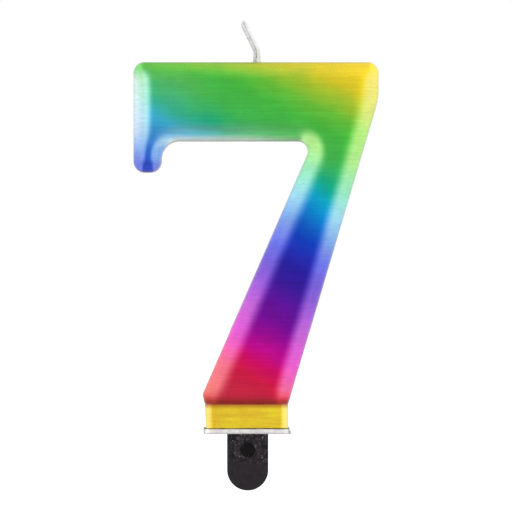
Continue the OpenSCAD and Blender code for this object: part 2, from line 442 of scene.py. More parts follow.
deep = sprayed(deep_place, rainbow, 1.0)
painted_highlight_colour = sprayed(distance, painted_highlight_chart, painted_highlight_gain)
# Painted highlight mask: side-facing soft edges, top-facing parts and part of the bar take the pale colours.
sideways = calculate(tree, "ABSOLUTE", calculate(tree, "SUBTRACT", facing["X"], 0.03))
painted_highlight_mask = product(
    tree,
    between(tree, sideways, 0.035, 0.4),
    between(tree, parts["Z"], foot_z + 0.4, foot_z + 3.4, 0.15, 1.0),
    between(tree, drop, 0.2, 4.2, 0.3, 1.0),
)
painted_highlight_mask = calculate(tree, "MAXIMUM", painted_highlight_mask, between(tree, aside, 34.0, 46.0, 0.0, 0.16))
# Painted highlight on the free end of the bar, paler and then whiter still.
painted_end_highlight_band = product(
    tree,
    between(tree, aside, bar_w - 4.5, bar_w - 2.0),
    between(tree, drop, 0.8, 4.6),
    between(tree, drop, 19.0, 14.0),
)
painted_highlight_mask = calculate(tree, "MAXIMUM", painted_highlight_mask, painted_end_highlight_band)
painted_highlight_mask = calculate(tree, "MAXIMUM", painted_highlight_mask, between(tree, facing["Z"], 0.1, 0.5, 0.0, 0.14))
colour = mix(tree, painted_highlight_mask, deep, painted_highlight_colour)
painted_end_highlight = product(tree, painted_end_highlight_band, between(tree, sideways, 0.45, 0.2, 0.0, 0.5))
colour = mix(tree, painted_end_highlight, colour, linear(190, 244, 240))
whiter_painted_light = product(
    tree,
    between(tree, aside, bar_w - 3.6, bar_w - 0.2, 0.0, 0.6),
    between(tree, drop, 1.0, 5.0),
    between(tree, drop, 21.0, 13.0),
)
colour = mix(tree, whiter_painted_light, colour, linear(206, 208, 216))
# Painted highlight: faces that turn down under the bar go pale grey.
under_bar = between(tree, parts["Z"], under_z - 2.0, under_z - 0.5)
painted_faint_underside_highlight = between(tree, facing["Z"], -0.02, -0.4, 0.0, 0.16)
painted_underside_highlight = calculate(tree, "MAXIMUM", painted_faint_underside_highlight, between(tree, facing["Z"], -0.35, -0.97, 0.0, 0.85))
painted_underside_highlight = product(tree, painted_underside_highlight, between(tree, parts["X"], -4.0, 12.0, 1.0, 0.35), under_bar)
colour = mix(tree, painted_underside_highlight, colour, linear(196, 204, 190))
# Painted shade: the red darkens towards the foot, where the figure meets the block.
painted_foot_shade = between(tree, parts["Z"], foot_z + 1.9, foot_z + 0.2, 0.0, 0.75)
finish_coat(tree, shader, mix(tree, painted_foot_shade, colour, linear(120, 44, 20)), coat)
print("rainbow stops:", len(rainbow))

# %% [markdown]
# ## Gold wax
#
# The block has the same coat in one colour. What keeps it from looking like a painted box is that the
# gold is thinner here and there, so it drifts between a lemon and a deeper gold. Its side corners
# carry a paler painted highlight, and its top darkens with painted shade under the foot of the figure.

# %% Gold wax
gold_wax, tree, shader, place = start_finish("gold_wax")
coat = lay_coat(tree, place, 2.6, 2.4, 0.45)
drift = grain(tree, place, 0.3, stretch=(0.5, 1, 1.2))
gold = mix(tree, between(tree, drift, 0.3, 0.7), linear(221, 196, 44), linear(214, 178, 46))
parts = split(tree, place)
# Painted highlight: the block's side corners go paler.
corner = between(tree, calculate(tree, "ABSOLUTE", parts["X"]), 7.4, 8.5, 0.0, 0.8)
gold = mix(tree, corner, gold, linear(210, 200, 116))
# Painted shade: the top of the block darkens and turns reddish brown under the figure's foot.
painted_top_shade = between(tree, parts["Z"], foot_z - 1.3, foot_z, 0.0, 0.8)
gold = mix(tree, painted_top_shade, gold, linear(158, 72, 34))
# Painted shade: a dark line in the crease just under the foot.
painted_crease_shade = between(tree, parts["Z"], foot_z - 0.2, foot_z - 0.06)
finish_coat(tree, shader, mix(tree, painted_crease_shade, gold, linear(124, 48, 20)), coat)
print("made", gold_wax.name)

# %% [markdown]
# ## Foil, plastic, cotton and plain wax
#
# The tray is bright kitchen-grade foil with tiny creases, with painted shadow and reflection along its
# rim and painted shade at its ends and bottom. The pick is charcoal plastic, dulled near the top by
# specks of wax that stuck to it when the candle was poured, with painted shade in its dimple. The wick
# is spun cotton: its fibres wind round each strand, so the pattern follows coordinates that the wick's
# own shape tree stores on the mesh, and one strand is greyer as painted shade. Where the wick leaves
# the figure a little plain wax has crept up it, with dark patches of painted shade.

# %% Silver foil
silver_foil, tree, shader, place = start_finish("silver_foil")
creases = grain(tree, place, 1.4, detail=3.0, stretch=(1, 1, 0.6))
dents = grain(tree, place, 0.7, detail=1.0)
foil_height = calculate(tree, "MULTIPLY_ADD", dents, 1.5, creases)
tarnish = between(tree, grain(tree, place, 0.9, detail=3.0), 0.35, 0.65)
foil = mix(tree, tarnish, linear(226, 223, 218), linear(206, 202, 204))
parts = split(tree, place)
# Painted shadow along the top of the rim, where it meets the block, mixed in patches with a brownish painted
# reflection of the gold.
painted_shadow_mottle = between(tree, grain(tree, place, 0.5), 0.4, 0.6)
painted_rim_shadow_and_reflection = mix(tree, painted_shadow_mottle, linear(104, 88, 48), linear(44, 36, 30))
painted_rim_shadow_band = between(tree, parts["Z"], tray_high[2] - 0.16, tray_high[2] - 0.02)
foil = mix(tree, painted_rim_shadow_band, foil, painted_rim_shadow_and_reflection)
# Painted shade: the foil is darker towards the bottom, where it bends under.
painted_fold_shade = between(tree, parts["Z"], 0.5, 0.12, 0.0, 0.7)
foil = mix(tree, painted_fold_shade, foil, linear(160, 155, 160))
from_middle = calculate(tree, "ABSOLUTE", parts["X"])
# Painted shade on the tray's rounded ends.
painted_end_shade = between(tree, from_middle, tray_high[0] - 0.5, tray_high[0] - 0.05, 0.0, 0.75)
foil = mix(tree, painted_end_shade, foil, linear(140, 137, 132))
set_shader(
    tree,
    shader,
    Base_Color=foil,
    Metallic=1.0,
    Roughness=between(tree, creases, 0.3, 0.7, 0.3, 0.45),
    Normal=bump(tree, 0.6, 0.05, foil_height),
)
print("made", silver_foil.name)

# %% Black plastic with wax specks
dimple_middle = (0.26, 0.1, -3.55)
black_plastic, tree, shader, place = start_finish("black_plastic")
parts = split(tree, place)
near_top = between(tree, parts["Z"], -7.5, -4.0)
mottle = grain(tree, place, 1.3, detail=4.0, stretch=(1, 1, 0.7), roughness=0.7)
base = mix(tree, between(tree, mottle, 0.35, 0.65), linear(37, 33, 36), linear(28, 24, 28))
dark_share = product(tree, between(tree, mottle, 0.46, 0.56), near_top)
base = mix(tree, dark_share, base, linear(13, 10, 13))
fine_grain = grain(tree, place, 5.0, detail=3.0)
rubbed = grain(tree, place, 2.2, detail=4.0, stretch=(1, 1, 0.6), roughness=0.7)
rubbed = product(tree, between(tree, rubbed, 0.52, 0.66, 0.0, 0.8), near_top)
base = mix(tree, rubbed, base, linear(80, 74, 80))
crumbs = grain(tree, place, 2.6, detail=3.0, stretch=(1, 1, 0.7), roughness=0.7)
clusters = between(tree, grain(tree, place, 0.35, detail=1.0), 0.44, 0.58)
specks = product(tree, between(tree, crumbs, 0.59, 0.66), clusters, near_top)
base = mix(tree, product(tree, specks, 0.8), base, linear(156, 148, 152))
# Painted shade: the dimple is filled with near black, with a ragged edge.
dimple_place = combine(tree, "SUBTRACT", place, dimple_middle)
flattened = combine(tree, "MULTIPLY", dimple_place, (1, 0.2, 1))
dimple_gap = add_node(
    tree, "ShaderNodeVectorMath", {0: flattened}, operation="LENGTH"
).outputs["Value"]
ragged = calculate(tree, "MULTIPLY_ADD", mottle, 1.2, dimple_gap)
in_front = between(tree, parts["Y"], pick_high[1] - 0.1, pick_high[1] - 0.25)
painted_dimple_shade = product(tree, between(tree, ragged, 1.75, 2.35, 0.95, 0.0), in_front)
base = mix(tree, painted_dimple_shade, base, linear(3, 2, 3))
speck_height = calculate(tree, "MULTIPLY_ADD", specks, 0.8, fine_grain)
set_shader(
    tree,
    shader,
    Base_Color=base,
    Roughness=between(tree, mottle, 0.35, 0.65, 0.6, 0.45),
    Normal=bump(tree, 0.5, 0.04, speck_height),
    Specular_IOR_Level=0.12,
)
print("made", black_plastic.name)

# %% Spun cotton
wick_cotton, tree, shader, place = start_finish("wick_cotton")
lay = add_node(tree, "ShaderNodeAttribute", attribute_name="lay").outputs["Vector"]
fibres = grain(tree, lay, 5.0, detail=3.0, stretch=(1, 1, 0.35))
tufts = grain(tree, lay, 1.6, stretch=(1, 1, 0.6))
# Painted shade: the second strand is greyer, standing in for the shade it lies in, and the first is the lit
# one.
strand = add_node(tree, "ShaderNodeAttribute", attribute_name="strand").outputs["Fac"]
second = between(tree, strand, 0.2, 0.3)
whiter_painted_light = mix(tree, between(tree, fibres, 0.4, 0.6), linear(204, 204, 206), linear(226, 226, 227))
greyer_painted_shade = mix(tree, between(tree, fibres, 0.4, 0.6), linear(176, 176, 180), linear(208, 208, 211))
cotton = mix(tree, second, whiter_painted_light, greyer_painted_shade)
cotton = mix(tree, between(tree, tufts, 0.55, 0.75, 0.0, 0.5), cotton, linear(140, 140, 146))
set_shader(
    tree,
    shader,
    Base_Color=cotton,
    Roughness=between(tree, fibres, 0.3, 0.7, 0.9, 0.7),
    Normal=bump(tree, 0.5, 0.05, fibres),
    Sheen_Weight=0.2,
    Sheen_Roughness=0.5,
)
print("made", wick_cotton.name)

# %% Plain wax
plain_wax, tree, shader, place = start_finish("plain_wax")
# The wax is milky, and its dark olive patches are painted shade at the foot of the wick.
milky_and_painted_shade = grain(tree, place, 1.2, detail=3.0)
set_shader(
    tree,
    shader,
    Base_Color=mix(tree, between(tree, milky_and_painted_shade, 0.3, 0.7), linear(112, 114, 98), linear(196, 197, 186)),
    Roughness=between(tree, milky_and_painted_shade, 0.3, 0.7, 0.3, 0.5),
    Normal=bump(tree, 0.4, 0.05, milky_and_painted_shade),
    Subsurface_Weight=0.2,
    Subsurface_Radius=(1.0, 0.9, 0.6),
    Subsurface_Scale=0.5 * MM,
)
print("made", plain_wax.name)

# %% [markdown]
# ## Outlines with round corners
#
# The figure, the block, the tray and the pick are all flat outlines with round corners, moved in and
# out. So one function draws them all: it takes corners with a radius each, and gives the points of
# the rounded outline, moved inwards by any distance. The number of points stays the same whatever
# that distance is, which lets two such outlines be joined by a strip of four-sided faces.

# %% Helpers that draw outlines
SHARP = 0.05


def unit(vector):
    """The vector at length one."""
    return vector / np.linalg.norm(vector)


def left_of(vector):
    """The vector turned a quarter to its left."""
    return np.array([-vector[1], vector[0]])


def corner_arc(before, here, after, radius, steps):
    """Points of the arc that rounds the corner between two straight edges."""
    ahead, onward = unit(here - before), unit(after - here)
    turn = math.atan2(ahead[0] * onward[1] - ahead[1] * onward[0], ahead @ onward)
    start = here - ahead * radius * math.tan(abs(turn) / 2)
    centre = start + left_of(ahead) * radius * np.sign(turn)
    first = math.atan2(*(start - centre)[::-1])
    angles = first + turn * np.arange(steps + 1) / steps
    return centre + radius * np.column_stack([np.cos(angles), np.sin(angles)])


def rounded_arcs(corners, inset, steps):
    """One arc for each corner of an anticlockwise outline that has moved inwards by inset."""
    count = len(corners)
    points = [np.array(c[:2], float) for c in corners]
    moved = []
    for i, here in enumerate(points):
        a = left_of(unit(here - points[i - 1]))
        b = left_of(unit(points[(i + 1) % count] - here))
        moved.append(here + inset * (a + b) / (1 + a @ b))
    arcs = []
    for i, here in enumerate(moved):
        before, after = moved[i - 1], moved[(i + 1) % count]
        ahead, onward = unit(here - before), unit(after - here)
        turn = ahead[0] * onward[1] - ahead[1] * onward[0]
        radius = max(corners[i][2] - inset * np.sign(turn), SHARP)
        arcs.append(corner_arc(before, here, after, radius, steps))
    return arcs


def rounded_outline(corners, inset=0.0, spacing=0.5, steps=12):
    """The whole outline as points, with its straight stretches cut into pieces of about spacing."""
    outer = rounded_arcs(corners, 0.0, steps)
    arcs = rounded_arcs(corners, inset, steps)
    points = []
    for i, arc in enumerate(arcs):
        following = (i + 1) % len(arcs)
        gap = np.linalg.norm(outer[following][0] - outer[i][-1])
        pieces = max(1, round(gap / spacing))
        points.append(arc)
        points.append(np.linspace(arc[-1], arcs[following][0], pieces + 1)[1:-1])
    return np.vstack(points)


def inside(points, loop):
    """Which points lie inside a closed loop: those with an odd number of crossings to their right."""
    x, z = points[:, :1], points[:, 1:]
    a, b = loop, np.roll(loop, -1, axis=0)
    rise = np.where(b[:, 1] == a[:, 1], 1.0, b[:, 1] - a[:, 1])
    crossing = a[:, 0] + (z - a[:, 1]) / rise * (b[:, 0] - a[:, 0])
    spans = (a[:, 1] > z) != (b[:, 1] > z)
    return (spans & (x < crossing)).sum(axis=1) % 2 == 1


def nearest(points, loop, start=0.0):
    """Distance from each point to the closed loop. Start makes some of its edges count as further."""
    a, b = loop, np.roll(loop, -1, axis=0)
    along = b - a
    found = []
    for chunk in np.array_split(points, max(1, len(points) // 1500)):
        away = chunk[:, None] - a
        share = np.clip((away * along).sum(2) / (along * along).sum(1), 0, 1)
        gap = np.linalg.norm(away - share[..., None] * along, axis=2) + start
        found.append(gap.min(axis=1))
    return np.concatenate(found)


def honeycomb(low, high, spacing):
    """Points in a honeycomb over a rectangle."""
    rows = np.arange(low[1], high[1], spacing * math.sqrt(0.75))
    return np.array([
        (x + spacing / 2 * (i % 2), z)
        for i, z in enumerate(rows)
        for x in np.arange(low[0], high[0], spacing)
    ])


print("a 10 mm square with 2 mm corners:",
      len(rounded_outline([(0, 0, 2), (10, 0, 2), (10, 10, 2), (0, 10, 2)])), "points")

# %% [markdown]
# ## Skins
#
# A moulded piece is a skin: rings of points joined by strips, closed by a flat filling. The class
# below collects the points and faces of one piece. A ring can stand upright, facing the front, or lie
# level. The filling is a constrained Delaunay triangulation, which keeps the ring's own edges and
# makes no thin slivers, so light runs smoothly across the face.

# %% Helper that collects rings, strips and fillings


class Skin:
    """The points and faces of one piece, in millimetres. An upright one faces the front."""

    def __init__(self, upright):
        self.upright = upright
        self.points = []
        self.faces = []

    def ring(self, flat, level):
        """Adds flat points at one level and gives back their numbers."""
        first = len(self.points)
        levels = np.broadcast_to(level, len(flat))
        for (a, b), c in zip(flat, levels):
            self.points.append((a, c, b) if self.upright else (a, b, c))
        return np.arange(first, first + len(flat))

    def strip(self, first, second):
        """Joins two rings of the same length with four-sided faces."""
        for i in range(len(first)):
            j = (i + 1) % len(first)
            self.faces.append((first[i], first[j], second[j], second[i]))

    def join(self, rings):
        """Joins every ring to the next one."""
        for first, second in zip(rings, rings[1:]):
            self.strip(first, second)

    def cells(self, loops, spacing, clear):
        """Honeycomb points inside the first loop, outside the others and clear of them all."""
        outline, *holes = [self.flat(loop) for loop in loops]
        points = honeycomb(outline.min(axis=0), outline.max(axis=0), spacing)
        points = points[inside(points, outline)]
        for hole in holes:
            points = points[~inside(points, hole)]
        for loop in (outline, *holes):
            points = points[nearest(points, loop) > clear]
        return points

    def fill(self, loops, extra=()):
        """Fills the first loop. The other loops are holes in it, and extra are points inside it."""
        numbers = np.concatenate([*loops, extra]).astype(int)
        flat = self.flat(numbers)
        edges = []
        first = 0
        for loop in loops:
            edges += [(first + i, first + (i + 1) % len(loop)) for i in range(len(loop))]
            first += len(loop)
        made = delaunay_2d_cdt([Vector(p) for p in flat], edges, [], 1, 1e-7)
        source = [origin[0] for origin in made[3]]
        triangles = np.array([[source[v] for v in face] for face in made[2]])
        middles = flat[triangles].mean(axis=1)
        keep = np.ones(len(triangles), bool)
        for hole in loops[1:]:
            keep &= ~inside(middles, self.flat(hole))
        self.faces += [tuple(t) for t in numbers[triangles[keep]]]

    def flat(self, numbers):
        """The flat places of numbered points."""
        columns = [0, 2] if self.upright else [0, 1]
        return np.array(self.points)[np.asarray(numbers)][:, columns]

    def piece(self, name, material, closed=True):
        """The finished object, in metres, with its faces pointing outwards."""
        mesh = bpy.data.meshes.new(name)
        points = (np.array(self.points) * MM).tolist()
        mesh.from_pydata(points, [], [tuple(int(v) for v in face) for face in self.faces])
        if closed:
            work = bmesh.new()
            work.from_mesh(mesh)
            bmesh.ops.recalc_face_normals(work, faces=work.faces)
            work.to_mesh(mesh)
            work.free()
        mesh.shade_smooth()
        mesh.materials.append(material)
        made = bpy.data.objects.new(name, mesh)
        bpy.context.scene.collection.objects.link(made)
        return made


print("skins are ready")

# %% [markdown]
# ## Shape trees
#
# A shape that follows a rule is left to Geometry Nodes: one tree swells the figure and another lays
# the wick's strands. Both move points, store numbers on them and end in the same way, with real
# points and a finish. A tree's named sizes are set by its sockets' identifiers before the piece is
# first worked out, and the result is kept as a plain mesh, so that nothing is left to run later.

# %% Helpers for shape trees


def shift_points(tree, mesh, offset):
    """Moves every point of a mesh or curve by its offset."""
    return result_of(tree, "GeometryNodeSetPosition", {"Geometry": mesh, "Offset": offset})


def store(tree, mesh, name, value, data_type="FLOAT"):
    """Stores a value on each point, by name."""
    inputs = {"Geometry": mesh, "Name": name, "Value": value}
    kind = "GeometryNodeStoreNamedAttribute"
    return result_of(tree, kind, inputs, data_type=data_type, domain="POINT")


def stored(tree, name, data_type="FLOAT"):
    """The value that is stored on each point under a name."""
    kind = "GeometryNodeInputNamedAttribute"
    return result_of(tree, kind, {"Name": name}, data_type=data_type)


def scaled(tree, vector, amount):
    """A vector made longer or shorter."""
    inputs = {0: vector, "Scale": amount}
    return result_of(tree, "ShaderNodeVectorMath", inputs, operation="SCALE")


def hand_out(tree, mesh, finish, socket):
    """Ends a shape tree: real points, with a finish, handed to its output socket."""
    real = result_of(tree, "GeometryNodeRealizeInstances", {"Geometry": mesh})
    inputs = {"Geometry": real, "Material": finish}
    tree.links.new(result_of(tree, "GeometryNodeSetMaterial", inputs), socket)


def run_tree(piece, tree, **sizes):
    """Runs a Geometry Nodes tree on a piece and keeps the result as its plain mesh."""
    modifier = piece.modifiers.new(tree.name, "NODES")
    modifier.node_group = tree
    for item in tree.interface.items_tree:
        key = item.name.replace(" ", "_").lower()
        if item.in_out == "INPUT" and key in sizes:
            modifier[item.identifier] = sizes[key]
    modifier.show_viewport = True
    bpy.context.view_layer.update()
    depsgraph = bpy.context.evaluated_depsgraph_get()
    mesh = bpy.data.meshes.new_from_object(piece.evaluated_get(depsgraph))
    piece.modifiers.remove(modifier)
    old = piece.data
    piece.data = mesh
    bpy.data.meshes.remove(old)
    mesh.name = piece.name
    return piece


print("helpers for shape trees are ready")

# %% [markdown]
# ## The figure
#
# The 7 is a flat outline that swells into a pillow: at the outline the wax turns straight back, and
# about 5 mm in it is flat. That is a rule, so Geometry Nodes make it. The flat sheet carries one number
# on each point, its distance from the outline, and the tree lifts each point by it along a quarter
# of an ellipse. The plain distance would leave a crease along the middle of the narrow serif, where
# two sides are equally near. So the distance is a smooth one: every stretch of the outline pulls
# with the fourth power of its nearness, and the sum is turned back into a length. The foot's edge
# gets a head start, so that the figure stays nearly full where it meets the block. Last, the tree
# stores which way each point faces, for the coat's masks.

# %% Corners of the figure
serif_w = 6.1
serif_drop = 6.85
shoulder_h = 7.9
neck_w = 11.5
heel_h = 2.0
heel_out = 0.5

shoulder_z = top_z - shoulder_h
heel_x, heel_z = foot_left - heel_out, foot_z + heel_h


def stem_right(z):
    """Right-hand edge of the stem at a height."""
    return foot_right + (bar_right - foot_right) * (z - foot_z) / (shoulder_z - foot_z)


crotch_x = stem_right(under_z) - neck_w


def stem_middle(z):
    """Middle of the stem at a height."""
    left = heel_x + (crotch_x - heel_x) * (z - heel_z) / (under_z - heel_z)
    return (left + stem_right(z)) / 2


seven_corners = [
    (foot_left, foot_z, 0.25),
    (foot_right, foot_z, 0.25),
    (bar_right, shoulder_z, 15.0),
    (bar_right, top_z, 2.4),
    (bar_left, top_z, 2.4),
    (bar_left, under_z - serif_drop, 2.45),
    (bar_left + serif_w, under_z - serif_drop, 2.45),
    (bar_left + serif_w, under_z, 4.0),
    (crotch_x, under_z, 2.25),
    (heel_x, heel_z, 1.5),
]
seven_outline = rounded_outline(seven_corners, 0.0, 0.4, 16)
print("outline of the figure:", len(seven_outline), "points")

# %% Flat sheet of the figure
soft_width = 4.8
soft_depth = 3.1
foot_start = 1.9
pull_power = 4
first_turns = np.radians([0, 8, 16, 24, 32, 40])
insets = soft_width * (1 - np.cos(first_turns))
sheet_spacing = 0.42


def head_start(loop):
    """Edges along the foot count as further away, so that the pillow is nearly flat there."""
    lowest = np.maximum(loop[:, 1], np.roll(loop[:, 1], -1))
    return np.where(lowest < foot_z + 0.01, foot_start, 0.0)


def soft_distance(points, loop):
    """Smooth distance from the outline of every point."""
    start = head_start(loop)
    exact = nearest(points, loop, start)
    middles = (loop + np.roll(loop, -1, axis=0)) / 2
    lengths = np.linalg.norm(loop - np.roll(loop, -1, axis=0), axis=1)
    pulls = []
    for chunk in np.array_split(points, max(1, len(points) // 1500)):
        away = chunk[:, None] - middles
        gap = np.linalg.norm(away, axis=2)
        pull = lengths / np.maximum(gap + start, 0.05) ** pull_power
        pulls.append(pull.sum(axis=1))
    straight = math.sqrt(math.pi) * math.gamma((pull_power - 1) / 2) / math.gamma(pull_power / 2)
    smooth = (np.concatenate(pulls) / straight) ** (-1 / (pull_power - 1))
    share = np.clip((exact - 0.8) / 1.2, 0, 1)
    share = share * share * (3 - 2 * share)
    return exact * (1 - share) + smooth * share


sheet = Skin(upright=True)
rings = [sheet.ring(rounded_outline(seven_corners, d, 0.4, 16), 0.0) for d in insets]
sheet.join(rings)
cells = sheet.cells([rings[-1]], sheet_spacing, sheet_spacing * 0.6)
sheet.fill([rings[-1]], sheet.ring(cells, 0.0))
numeral = sheet.piece("numeral_seven_wax", rainbow_wax, closed=False)

flat_points = sheet.flat(range(len(sheet.points)))
distances = soft_distance(flat_points, seven_outline)
print("sheet:", len(sheet.points), "points, up to", round(distances.max(), 2), "mm from the edge")

# %% Numbers that the sheet carries
before, after = np.roll(seven_outline, 1, axis=0), np.roll(seven_outline, -1, axis=0)
run = after - before
run /= np.linalg.norm(run, axis=1)[:, None]
outward = np.zeros((len(sheet.points), 3), np.float32)
outward[rings[0], 0] = run[:, 1]
outward[rings[0], 2] = -run[:, 0]


def carry(piece, name, kind, values):
    """Stores one value on each point of a piece."""
    attribute = piece.data.attributes.new(name, kind, "POINT")
    values = np.asarray(values, np.float32).ravel()
    attribute.data.foreach_set("vector" if kind == "FLOAT_VECTOR" else "value", values)


carry(numeral, "from_outline", "FLOAT", distances * MM)
carry(numeral, "outward", "FLOAT_VECTOR", outward)
print("the sheet carries:", [a.name for a in numeral.data.attributes if not a.is_internal])

# %% Tree that swells the sheet into the figure
pillow_inputs = {
    "Sheet": "NodeSocketGeometry",
    "Half thickness": 0.006,
    "Edge width": 0.0047,
    "Edge depth": 0.003,
    "Seam width": 0.0001,
    "Seam height": 0.00005,
    "Finish": "NodeSocketMaterial",
}
pillow, given, result = start_group(
    "pillow", "GeometryNodeTree", pillow_inputs, {"Figure": "NodeSocketGeometry"}
)
edges_in = calculate(pillow, "DIVIDE", stored(pillow, "from_outline"), given["Edge width"])
short = calculate(pillow, "SUBTRACT", 1.0, calculate(pillow, "MINIMUM", edges_in, 1.0))
rise = calculate(pillow, "SUBTRACT", 1.0, calculate(pillow, "POWER", short, 2.0))
rise = calculate(pillow, "SQRT", rise)
wall = calculate(pillow, "SUBTRACT", given["Half thickness"], given["Edge depth"])
lifted = calculate(pillow, "MULTIPLY_ADD", rise, given["Edge depth"], wall)
forward = result_of(pillow, "ShaderNodeCombineXYZ", {"Y": product(pillow, lifted, -1.0)})
swollen = shift_points(pillow, given["Sheet"], forward)
sides = result_of(pillow, "GeometryNodeInputMeshEdgeNeighbors")
rim = result_of(
    pillow, "FunctionNodeCompare", {2: sides, 3: 1}, data_type="INT", operation="EQUAL"
)


def extrude_rim(mesh, rim, y, spread):
    """Extrudes the rim straight back to a plane across Y, and moves it outwards by spread."""
    moved = add_node(
        pillow,
        "GeometryNodeExtrudeMesh",
        {"Mesh": mesh, "Selection": rim, "Offset": (0, 1, 0), "Offset Scale": 0.00001},
        mode="EDGES",
    ).outputs
    place_now = result_of(pillow, "GeometryNodeInputPosition")
    xz = combine(pillow, "MULTIPLY", combine(pillow, "ADD", place_now, spread), (1, 0, 1))
    back = result_of(pillow, "ShaderNodeCombineXYZ", {"Y": y})
    inputs = {
        "Geometry": moved["Mesh"],
        "Selection": moved["Top"],
        "Position": combine(pillow, "ADD", xz, back),
    }
    return result_of(pillow, "GeometryNodeSetPosition", inputs), moved["Top"]


proud = scaled(pillow, stored(pillow, "outward", "FLOAT_VECTOR"), given["Seam height"])
seam_front = product(pillow, given["Seam width"], -1.0)
side_wall, rim = extrude_rim(swollen, rim, seam_front, (0, 0, 0))
seam, rim = extrude_rim(side_wall, rim, 0.0, proud)
mirrored = result_of(pillow, "GeometryNodeTransform", {"Geometry": seam, "Scale": (1, -1, 1)})
turned = result_of(pillow, "GeometryNodeFlipFaces", {"Mesh": mirrored})
both = add_node(pillow, "GeometryNodeJoinGeometry")
pillow.links.new(seam, both.inputs[0])
pillow.links.new(turned, both.inputs[0])
merged = result_of(
    pillow, "GeometryNodeMergeByDistance", {"Geometry": both.outputs[0], "Distance": 0.000002}
)
normal = result_of(pillow, "GeometryNodeInputNormal")
faced = store(pillow, merged, "facing", normal, "FLOAT_VECTOR")
hand_out(pillow, faced, given["Finish"], result["Figure"])

run_tree(
    numeral,
    pillow,
    half_thickness=seven_half * MM,
    edge_width=soft_width * MM,
    edge_depth=soft_depth * MM,
    seam_width=0.12 * MM,
    seam_height=0.05 * MM,
    finish=rainbow_wax,
)


def close_and_smooth(piece):
    """Points the faces outwards and counts the open edges, of which there should be none."""
    work = bmesh.new()
    work.from_mesh(piece.data)
    bmesh.ops.recalc_face_normals(work, faces=work.faces)
    open_edges = sum(1 for edge in work.edges if len(edge.link_faces) != 2)
    work.to_mesh(piece.data)
    work.free()
    piece.data.shade_smooth()
    print(piece.name, "has", len(piece.data.polygons), "faces and", open_edges, "open edges")


close_and_smooth(numeral)

# %% [markdown]
# ## The block under the figure
#
# The block is a short bar of wax with soft corners, so it is a stack of level outlines: in a little
# at the bottom, straight up, and in again at the top where it meets the foot of the figure. Its left
# side leans in slightly towards the bottom, as a hand-dipped block does.

# %% Gold block
plinth_x, plinth_y = plinth_high[0], plinth_high[1]
block_r = 1.7
block_edge = 0.3
lean_in = 0.3


def rounded_box(half_x, half_y, radius):
    """Corners of a rectangle round the origin, anticlockwise."""
    return [(x * half_x, y * half_y, radius) for x, y in ((-1, -1), (1, -1), (1, 1), (-1, 1))]


block = Skin(upright=False)
quarter = np.radians([0, 18, 36, 54, 72, 90])
stack = []
for a in quarter:
    stack.append((block_edge * (1 - math.sin(a)), plinth_low[2] + block_edge * (1 - math.cos(a))))
for z in np.linspace(plinth_low[2] + 1, plinth_high[2] - 1, 6):
    stack.append((0.0, z))
for a in quarter:
    stack.append((block_edge * (1 - math.cos(a)), plinth_high[2] - block_edge * (1 - math.sin(a))))
levels = []
for inset, z in stack:
    loop = rounded_outline(rounded_box(plinth_x, plinth_y, block_r), inset, 0.5, 8)
    depth = (plinth_high[2] - z) / (plinth_high[2] - plinth_low[2])
    left = np.clip(-loop[:, 0] / plinth_x, 0, 1)
    loop[:, 0] += lean_in * depth * left
    levels.append(block.ring(loop, z))
block.join(levels)
for end in (levels[0], levels[-1]):
    block.fill([end], block.ring(block.cells([end], 1.0, 0.5), block.points[end[0]][2]))
plinth = block.piece("plinth_wax", gold_wax)
print("block:", len(block.faces), "faces")

# %% [markdown]
# ## The foil tray
#
# The tray is one sheet of foil pressed into a shallow pan, with a slot that the pick passes through.
# Pressing foil gathers it at the corners, so the wall has small upright pleats there, and handling
# dents it everywhere. One end was knocked and flares out at the bottom. The sheet is modelled
# once, in the middle of the foil, and a Solidify modifier gives it its thickness. The rim's dark
# line is painted shadow where the rim meets the block, with a brownish painted reflection of the gold in
# places.

# %% Foil tray
tray_x, tray_y, tray_h = tray_high[0], tray_high[1], tray_high[2]
foil_t = 0.09
foil_mid = 0.075
pan_r = 1.3
floor_r = 0.25
flare = 0.6
pleats = 9
corner_reach = 2.6
knock_reach = 1.4
wall_reach = 0.3
rim_up = 0.14
slot_half_x, slot_half_y = 4.68, 1.15
slot_x = (pick_low[0] + pick_high[0]) / 2


def held(value):
    """The value, held between 0 and 1."""
    return max(0.0, min(1.0, value))


def crumple(points):
    """Dents the foil sheet: pleats round the corners, soft dents, and one flared end."""
    moved = []
    for x, y, z in points:
        up = min(1.0, z / tray_h)
        dent = noise.noise(Vector((x * 0.8, y * 0.8, z * 1.2)))
        small = noise.noise(Vector((x * 2.3 + 7, y * 2.3, z * 2.0)))
        over_x, over_y = abs(x) - tray_x, abs(y) - tray_y
        corner = held((over_x + corner_reach) / 1.6) * held((over_y + corner_reach) / 1.6)
        pleat = math.sin(pleats * math.atan2(over_y + pan_r, over_x + pan_r)) * corner
        wall = held((max(over_x, over_y) + wall_reach) / 0.25)
        push = wall * (0.05 + 0.05 * dent + 0.02 * small + 0.05 * pleat)
        out_x = push * math.copysign(1, x) * (abs(x) > tray_x - pan_r)
        out_y = push * math.copysign(1, y) * (abs(y) > tray_y - pan_r)
        knock = held((x - tray_x + knock_reach) / 1.2)
        knock = knock * knock * (3 - 2 * knock)
        floor_lift = (1 - wall) * (0.02 * dent + 0.012 * small)
        lift = floor_lift + wall * up * (0.07 * dent + 0.03 * small)
        moved.append((x + out_x + flare * knock * (1 - up) ** 1.3, y + out_y, z + lift))
    return moved


